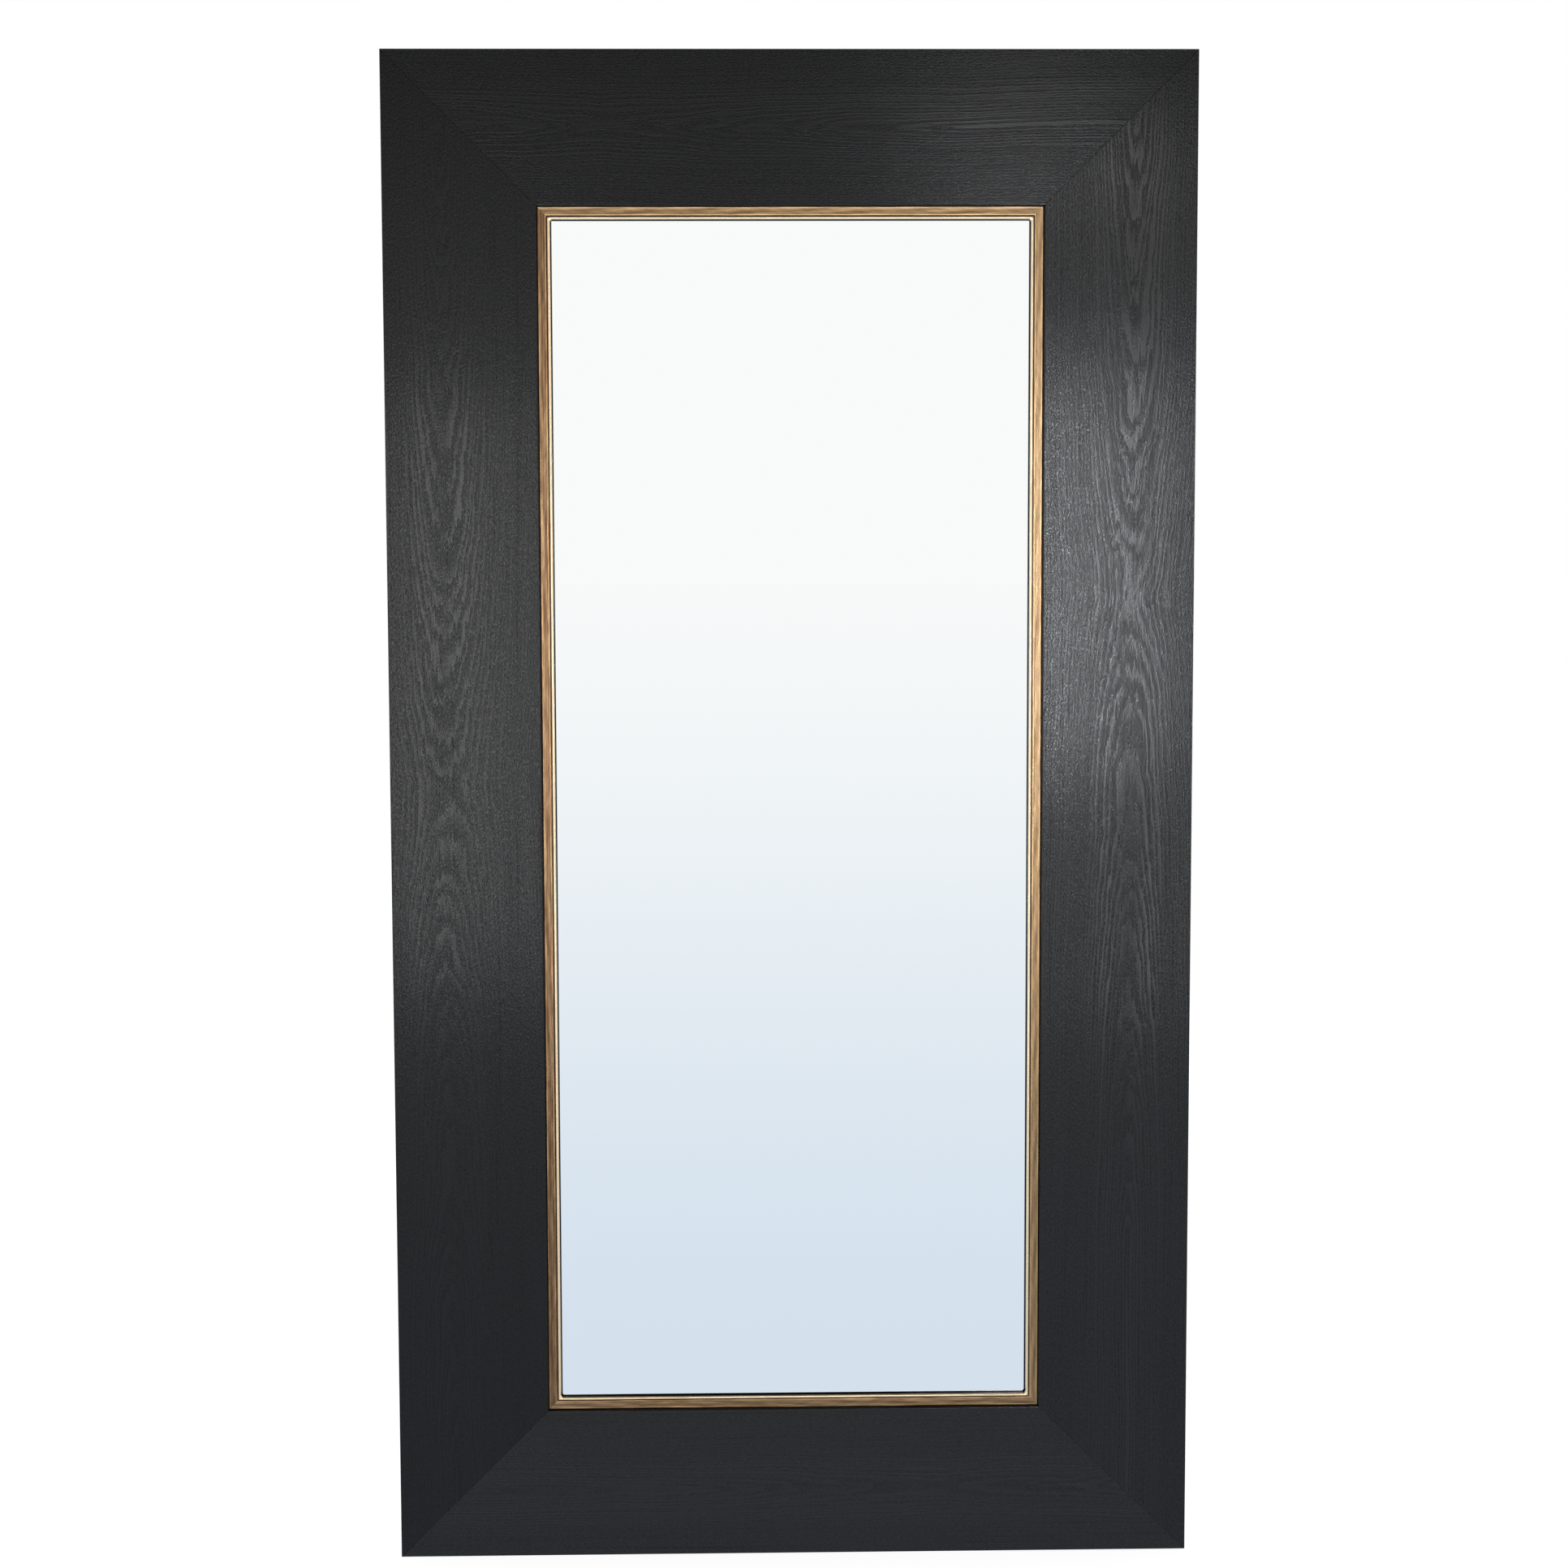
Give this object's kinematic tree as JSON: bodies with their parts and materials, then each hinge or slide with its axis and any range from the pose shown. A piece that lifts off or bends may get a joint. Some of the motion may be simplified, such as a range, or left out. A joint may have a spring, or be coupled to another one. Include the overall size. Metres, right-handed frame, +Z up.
{
  "type": "full-length mirror",
  "caption": "Tall mirror in a wide mitred black-stained wood frame with a narrow gold-leaf slip, hollow-backed, with loose-ring strap hangers.",
  "frame": {"origin": "on the floor, under the middle of the frame's depth and width", "axes": "+X to the right as seen from the front, +Y from the mirror face to the back, +Z up"},
  "size_m": [1.06, 0.048, 2],
  "materials": {
    "stained_ash": "black stain on open-grained ash, satin lacquer",
    "gold_leaf": "gold metal leaf, rubbed along its length",
    "silvered_glass": "polished",
    "panel_board": "raw fibreboard",
    "pine": "planed softwood",
    "beech": "pressed beech",
    "packing_card": "corrugated card",
    "zinc_steel": "bright zinc plate",
    "screw_steel": "yellow zinc plate",
    "rubber": "matt"
  },
  "bodies": {
    "frame": {"top_rail": "stained_ash", "bottom_rail": "stained_ash", "left_stile": "stained_ash", "right_stile": "stained_ash", "top_edge": "stained_ash", "bottom_edge": "stained_ash", "left_edge": "stained_ash", "right_edge": "stained_ash", "mitre_biscuits": "beech", "top_slip": "gold_leaf", "bottom_slip": "gold_leaf", "left_slip": "gold_leaf", "right_slip": "gold_leaf", "mirror_glass": "silvered_glass", "glass_setting_blocks": "rubber", "backing_sheet": "packing_card", "back_panel": "panel_board", "panel_screws": "screw_steel", "top_batten": "pine", "bottom_batten": "pine", "left_batten": "pine", "right_batten": "pine", "batten_screws": "screw_steel", "corner_plate_top_left": "zinc_steel", "corner_plate_top_right": "zinc_steel", "corner_plate_bottom_left": "zinc_steel", "corner_plate_bottom_right": "zinc_steel", "corner_plate_screws": "screw_steel", "left_hanger_plate": "zinc_steel", "right_hanger_plate": "zinc_steel", "hanger_screws": "screw_steel", "wall_bumpers": "rubber"},
    "left_ring": {"left_hanger_ring": "zinc_steel"},
    "right_ring": {"right_hanger_ring": "zinc_steel"}
  },
  "joints": [
    {"name": "left_ring_hinge", "type": "hinge", "parent": "frame", "child": "left_ring", "pos_m": [-0.4565, 0.00308, 1.6], "axis": [1, 0, 0], "range_deg": [0, 180]},
    {"name": "right_ring_hinge", "type": "hinge", "parent": "frame", "child": "right_ring", "pos_m": [0.4565, 0.00308, 1.6], "axis": [1, 0, 0], "range_deg": [0, 180]}
  ]
}
